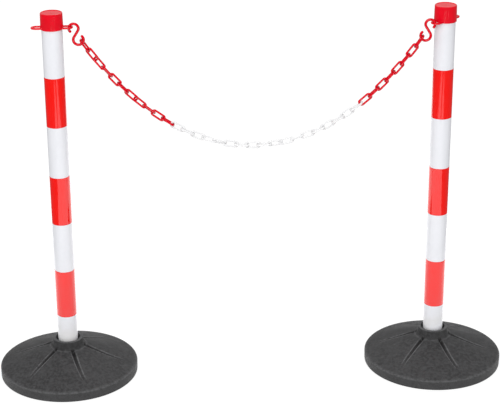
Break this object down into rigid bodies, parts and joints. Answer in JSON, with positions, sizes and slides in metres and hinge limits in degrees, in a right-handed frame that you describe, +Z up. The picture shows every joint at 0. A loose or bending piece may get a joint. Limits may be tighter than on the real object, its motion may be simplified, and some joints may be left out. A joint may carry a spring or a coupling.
{
  "type": "plastic chain stanchion",
  "caption": "Striped tube posts in round fluted rubber bases, with eyelet caps joined by a hanging plastic chain on S-hooks.",
  "frame": {"origin": "on the floor, midway between the two post axes", "axes": "+X from the left post to the right post, +Z up, the front faces -Y"},
  "size_m": [1.0356, 0.2808, 0.762],
  "materials": {
    "black_rubber": "matte moulded recycled rubber",
    "white_pvc": "semi-gloss extruded PVC tube",
    "red_tape": "smooth red self-adhesive tape",
    "red_plastic": "glossy injection-moulded red plastic",
    "white_plastic": "glossy injection-moulded white plastic"
  },
  "bodies": {
    "left_base": {"left_base": "black_rubber"},
    "left_cap": {"left_cap": "red_plastic"},
    "left_post": {"left_tube": "white_pvc", "left_band_1": "red_tape", "left_band_2": "red_tape", "left_band_3": "red_tape"},
    "right_cap": {"right_cap": "red_plastic"},
    "right_post": {"right_tube": "white_pvc", "right_band_1": "red_tape", "right_band_2": "red_tape", "right_band_3": "red_tape"},
    "right_base": {"right_base": "black_rubber"},
    "left_hook": {"left_hook": "red_plastic"},
    "right_hook": {"right_hook": "red_plastic"},
    "link_01": {"link_01": "red_plastic"},
    "link_02": {"link_02": "red_plastic"},
    "link_03": {"link_03": "red_plastic"},
    "link_04": {"link_04": "red_plastic"},
    "link_05": {"link_05": "red_plastic"},
    "link_06": {"link_06": "red_plastic"},
    "link_07": {"link_07": "red_plastic"},
    "link_08": {"link_08": "red_plastic"},
    "link_09": {"link_09": "red_plastic"},
    "link_10": {"link_10": "red_plastic"},
    "link_11": {"link_11": "red_plastic"},
    "link_12": {"link_12": "white_plastic"},
    "link_13": {"link_13": "white_plastic"},
    "link_14": {"link_14": "white_plastic"},
    "link_15": {"link_15": "white_plastic"},
    "link_16": {"link_16": "white_plastic"},
    "link_17": {"link_17": "white_plastic"},
    "link_18": {"link_18": "white_plastic"},
    "link_19": {"link_19": "white_plastic"},
    "link_20": {"link_20": "white_plastic"},
    "link_21": {"link_21": "white_plastic"},
    "link_22": {"link_22": "white_plastic"},
    "link_23": {"link_23": "white_plastic"},
    "link_24": {"link_24": "white_plastic"},
    "link_25": {"link_25": "white_plastic"},
    "link_26": {"link_26": "white_plastic"},
    "link_27": {"link_27": "white_plastic"},
    "link_28": {"link_28": "white_plastic"},
    "link_29": {"link_29": "white_plastic"},
    "link_30": {"link_30": "red_plastic"},
    "link_31": {"link_31": "red_plastic"},
    "link_32": {"link_32": "red_plastic"},
    "link_33": {"link_33": "red_plastic"},
    "link_34": {"link_34": "red_plastic"},
    "link_35": {"link_35": "red_plastic"},
    "link_36": {"link_36": "red_plastic"},
    "link_37": {"link_37": "red_plastic"}
  },
  "joints": [
    {"name": "post_lift", "type": "slide", "parent": "left_base", "child": "left_cap", "axis": [0, 0, 1], "range_m": [0, 0.07]},
    {"name": "left_post_turn", "type": "hinge", "parent": "left_cap", "child": "left_post", "pos_m": [-0.3774, 0, 0.73], "axis": [0, 0, 1], "continuous": true},
    {"name": "post_spacing", "type": "slide", "parent": "left_cap", "child": "right_cap", "axis": [0.9995, -0.0305, 0], "range_m": [-0.15, 0]},
    {"name": "right_post_turn", "type": "hinge", "parent": "right_cap", "child": "right_post", "pos_m": [0.3774, 0, 0.73], "axis": [0, 0, 1], "continuous": true},
    {"name": "right_base_release", "type": "slide", "parent": "right_post", "child": "right_base", "axis": [0, 0, -1], "range_m": [0, 0.07]},
    {"name": "chain_swing", "type": "hinge", "parent": "left_cap", "child": "left_hook", "pos_m": [-0.3391, -0.00024, 0.7336], "axis": [0.9995, -0.0305, 0], "range_deg": [-25, 25]},
    {"name": "right_hook_swing", "type": "hinge", "parent": "right_cap", "child": "right_hook", "pos_m": [0.34798, -0.02118, 0.7336], "axis": [0.9995, -0.0305, 0], "range_deg": [-25, 25]},
    {"name": "link_01_sag", "type": "hinge", "parent": "left_hook", "child": "link_01", "pos_m": [-0.3223, -0.00076, 0.70485], "axis": [-0.0305, -0.9995, 0], "range_deg": [-15.65, 0.31]},
    {"name": "link_02_sag", "type": "hinge", "parent": "left_hook", "child": "link_02", "pos_m": [-0.32199, -0.00076, 0.70423], "axis": [-0.0305, -0.9995, 0], "range_deg": [-16.16, 0.32]},
    {"name": "link_03_sag", "type": "hinge", "parent": "left_hook", "child": "link_03", "pos_m": [-0.32136, -0.00078, 0.70305], "axis": [-0.0305, -0.9995, 0], "range_deg": [-16.67, 0.33]},
    {"name": "link_04_sag", "type": "hinge", "parent": "left_hook", "child": "link_04", "pos_m": [-0.32044, -0.00081, 0.70137], "axis": [-0.0305, -0.9995, 0], "range_deg": [-17.18, 0.34]},
    {"name": "link_05_sag", "type": "hinge", "parent": "left_hook", "child": "link_05", "pos_m": [-0.31926, -0.00085, 0.69927], "axis": [-0.0305, -0.9995, 0], "range_deg": [-17.69, 0.35]},
    {"name": "link_06_sag", "type": "hinge", "parent": "left_hook", "child": "link_06", "pos_m": [-0.31787, -0.00089, 0.69688], "axis": [-0.0305, -0.9995, 0], "range_deg": [-18.17, 0.36]},
    {"name": "link_07_sag", "type": "hinge", "parent": "left_hook", "child": "link_07", "pos_m": [-0.31637, -0.00094, 0.69439], "axis": [-0.0305, -0.9995, 0], "range_deg": [-18.6, 0.36]},
    {"name": "link_08_sag", "type": "hinge", "parent": "left_hook", "child": "link_08", "pos_m": [-0.3149, -0.00098, 0.69205], "axis": [-0.0305, -0.9995, 0], "range_deg": [-18.97, 0.37]},
    {"name": "link_09_sag", "type": "hinge", "parent": "left_hook", "child": "link_09", "pos_m": [-0.3137, -0.00102, 0.69021], "axis": [-0.0305, -0.9995, 0], "range_deg": [-19.23, 0.38]},
    {"name": "link_10_sag", "type": "hinge", "parent": "left_hook", "child": "link_10", "pos_m": [-0.31316, -0.00103, 0.68941], "axis": [-0.0305, -0.9995, 0], "range_deg": [-19.34, 0.38]},
    {"name": "link_11_sag", "type": "hinge", "parent": "left_hook", "child": "link_11", "pos_m": [-0.31389, -0.00101, 0.69044], "axis": [-0.0305, -0.9995, 0], "range_deg": [-19.22, 0.38]},
    {"name": "link_12_sag", "type": "hinge", "parent": "left_hook", "child": "link_12", "pos_m": [-0.31693, -0.00092, 0.69454], "axis": [-0.0305, -0.9995, 0], "range_deg": [-18.79, 0.37]},
    {"name": "link_13_sag", "type": "hinge", "parent": "left_hook", "child": "link_13", "pos_m": [-0.32411, -0.0007, 0.70377], "axis": [-0.0305, -0.9995, 0], "range_deg": [-17.96, 0.35]},
    {"name": "link_14_sag", "type": "hinge", "parent": "left_hook", "child": "link_14", "pos_m": [-0.33882, -0.00025, 0.72177], "axis": [-0.0305, -0.9995, 0], "range_deg": [-16.6, 0.33]},
    {"name": "link_15_sag", "type": "hinge", "parent": "left_hook", "child": "link_15", "pos_m": [-0.36795, 0.00064, 0.75572], "axis": [-0.0305, -0.9995, 0], "range_deg": [-14.61, 0.29]},
    {"name": "link_16_sag", "type": "hinge", "parent": "left_hook", "child": "link_16", "pos_m": [-0.42776, 0.00246, 0.82221], "axis": [-0.0305, -0.9995, 0], "range_deg": [-11.9, 0.23]},
    {"name": "link_17_sag", "type": "hinge", "parent": "left_hook", "child": "link_17", "pos_m": [-0.56699, 0.0067, 0.97054], "axis": [-0.0305, -0.9995, 0], "range_deg": [-8.46, 0.17]},
    {"name": "link_18_sag", "type": "hinge", "parent": "left_hook", "child": "link_18", "pos_m": [-1.02882, 0.02077, 1.44618], "axis": [-0.0305, -0.9995, 0], "range_deg": [-4.41, 0.09]},
    {"name": "link_19_sag", "type": "slide", "parent": "left_hook", "child": "link_19", "axis": [-0.71, 0.0216, -0.7039], "range_m": [0, 0.108]},
    {"name": "link_20_sag", "type": "hinge", "parent": "right_hook", "child": "link_20", "pos_m": [1.0377, -0.0422, 1.44618], "axis": [0.0305, 0.9995, 0], "range_deg": [-4.41, 0.09]},
    {"name": "link_21_sag", "type": "hinge", "parent": "right_hook", "child": "link_21", "pos_m": [0.57586, -0.02813, 0.97054], "axis": [0.0305, 0.9995, 0], "range_deg": [-8.46, 0.17]},
    {"name": "link_22_sag", "type": "hinge", "parent": "right_hook", "child": "link_22", "pos_m": [0.43663, -0.02388, 0.82221], "axis": [0.0305, 0.9995, 0], "range_deg": [-11.9, 0.23]},
    {"name": "link_23_sag", "type": "hinge", "parent": "right_hook", "child": "link_23", "pos_m": [0.37683, -0.02206, 0.75572], "axis": [0.0305, 0.9995, 0], "range_deg": [-14.61, 0.29]},
    {"name": "link_24_sag", "type": "hinge", "parent": "right_hook", "child": "link_24", "pos_m": [0.34769, -0.02117, 0.72177], "axis": [0.0305, 0.9995, 0], "range_deg": [-16.6, 0.33]},
    {"name": "link_25_sag", "type": "hinge", "parent": "right_hook", "child": "link_25", "pos_m": [0.33299, -0.02073, 0.70377], "axis": [0.0305, 0.9995, 0], "range_deg": [-17.96, 0.35]},
    {"name": "link_26_sag", "type": "hinge", "parent": "right_hook", "child": "link_26", "pos_m": [0.32581, -0.02051, 0.69454], "axis": [0.0305, 0.9995, 0], "range_deg": [-18.79, 0.37]},
    {"name": "link_27_sag", "type": "hinge", "parent": "right_hook", "child": "link_27", "pos_m": [0.32276, -0.02041, 0.69044], "axis": [0.0305, 0.9995, 0], "range_deg": [-19.22, 0.38]},
    {"name": "link_28_sag", "type": "hinge", "parent": "right_hook", "child": "link_28", "pos_m": [0.32203, -0.02039, 0.68941], "axis": [0.0305, 0.9995, 0], "range_deg": [-19.34, 0.38]},
    {"name": "link_29_sag", "type": "hinge", "parent": "right_hook", "child": "link_29", "pos_m": [0.32257, -0.02041, 0.69021], "axis": [0.0305, 0.9995, 0], "range_deg": [-19.23, 0.38]},
    {"name": "link_30_sag", "type": "hinge", "parent": "right_hook", "child": "link_30", "pos_m": [0.32377, -0.02044, 0.69205], "axis": [0.0305, 0.9995, 0], "range_deg": [-18.97, 0.37]},
    {"name": "link_31_sag", "type": "hinge", "parent": "right_hook", "child": "link_31", "pos_m": [0.32524, -0.02049, 0.69439], "axis": [0.0305, 0.9995, 0], "range_deg": [-18.6, 0.36]},
    {"name": "link_32_sag", "type": "hinge", "parent": "right_hook", "child": "link_32", "pos_m": [0.32674, -0.02054, 0.69688], "axis": [0.0305, 0.9995, 0], "range_deg": [-18.17, 0.36]},
    {"name": "link_33_sag", "type": "hinge", "parent": "right_hook", "child": "link_33", "pos_m": [0.32813, -0.02058, 0.69927], "axis": [0.0305, 0.9995, 0], "range_deg": [-17.69, 0.35]},
    {"name": "link_34_sag", "type": "hinge", "parent": "right_hook", "child": "link_34", "pos_m": [0.32932, -0.02061, 0.70137], "axis": [0.0305, 0.9995, 0], "range_deg": [-17.18, 0.34]},
    {"name": "link_35_sag", "type": "hinge", "parent": "right_hook", "child": "link_35", "pos_m": [0.33024, -0.02064, 0.70305], "axis": [0.0305, 0.9995, 0], "range_deg": [-16.67, 0.33]},
    {"name": "link_36_sag", "type": "hinge", "parent": "right_hook", "child": "link_36", "pos_m": [0.33086, -0.02066, 0.70423], "axis": [0.0305, 0.9995, 0], "range_deg": [-16.16, 0.32]},
    {"name": "link_37_sag", "type": "hinge", "parent": "right_hook", "child": "link_37", "pos_m": [0.33118, -0.02067, 0.70485], "axis": [0.0305, 0.9995, 0], "range_deg": [-15.65, 0.31]}
  ],
  "couplings": [
    {"joint": "right_base_release", "follows": "post_lift", "ratio": 1},
    {"joint": "right_hook_swing", "follows": "chain_swing", "ratio": 1},
    {"joint": "link_01_sag", "follows": "post_spacing", "rad_per_m": 1.7856},
    {"joint": "link_02_sag", "follows": "post_spacing", "rad_per_m": 1.8431},
    {"joint": "link_03_sag", "follows": "post_spacing", "rad_per_m": 1.9015},
    {"joint": "link_04_sag", "follows": "post_spacing", "rad_per_m": 1.96},
    {"joint": "link_05_sag", "follows": "post_spacing", "rad_per_m": 2.0175},
    {"joint": "link_06_sag", "follows": "post_spacing", "rad_per_m": 2.0723},
    {"joint": "link_07_sag", "follows": "post_spacing", "rad_per_m": 2.1222},
    {"joint": "link_08_sag", "follows": "post_spacing", "rad_per_m": 2.1642},
    {"joint": "link_09_sag", "follows": "post_spacing", "rad_per_m": 2.1939},
    {"joint": "link_10_sag", "follows": "post_spacing", "rad_per_m": 2.2056},
    {"joint": "link_11_sag", "follows": "post_spacing", "rad_per_m": 2.192},
    {"joint": "link_12_sag", "follows": "post_spacing", "rad_per_m": 2.1434},
    {"joint": "link_13_sag", "follows": "post_spacing", "rad_per_m": 2.0483},
    {"joint": "link_14_sag", "follows": "post_spacing", "rad_per_m": 1.8936},
    {"joint": "link_15_sag", "follows": "post_spacing", "rad_per_m": 1.6663},
    {"joint": "link_16_sag", "follows": "post_spacing", "rad_per_m": 1.357},
    {"joint": "link_17_sag", "follows": "post_spacing", "rad_per_m": 0.96476},
    {"joint": "link_18_sag", "follows": "post_spacing", "rad_per_m": 0.50267},
    {"joint": "link_19_sag", "follows": "post_spacing", "ratio": -0.70391},
    {"joint": "link_20_sag", "follows": "post_spacing", "rad_per_m": 0.50267},
    {"joint": "link_21_sag", "follows": "post_spacing", "rad_per_m": 0.96476},
    {"joint": "link_22_sag", "follows": "post_spacing", "rad_per_m": 1.357},
    {"joint": "link_23_sag", "follows": "post_spacing", "rad_per_m": 1.6663},
    {"joint": "link_24_sag", "follows": "post_spacing", "rad_per_m": 1.8936},
    {"joint": "link_25_sag", "follows": "post_spacing", "rad_per_m": 2.0483},
    {"joint": "link_26_sag", "follows": "post_spacing", "rad_per_m": 2.1434},
    {"joint": "link_27_sag", "follows": "post_spacing", "rad_per_m": 2.192},
    {"joint": "link_28_sag", "follows": "post_spacing", "rad_per_m": 2.2056},
    {"joint": "link_29_sag", "follows": "post_spacing", "rad_per_m": 2.1939},
    {"joint": "link_30_sag", "follows": "post_spacing", "rad_per_m": 2.1642},
    {"joint": "link_31_sag", "follows": "post_spacing", "rad_per_m": 2.1222},
    {"joint": "link_32_sag", "follows": "post_spacing", "rad_per_m": 2.0723},
    {"joint": "link_33_sag", "follows": "post_spacing", "rad_per_m": 2.0175},
    {"joint": "link_34_sag", "follows": "post_spacing", "rad_per_m": 1.96},
    {"joint": "link_35_sag", "follows": "post_spacing", "rad_per_m": 1.9015},
    {"joint": "link_36_sag", "follows": "post_spacing", "rad_per_m": 1.8431},
    {"joint": "link_37_sag", "follows": "post_spacing", "rad_per_m": 1.7856}
  ]
}
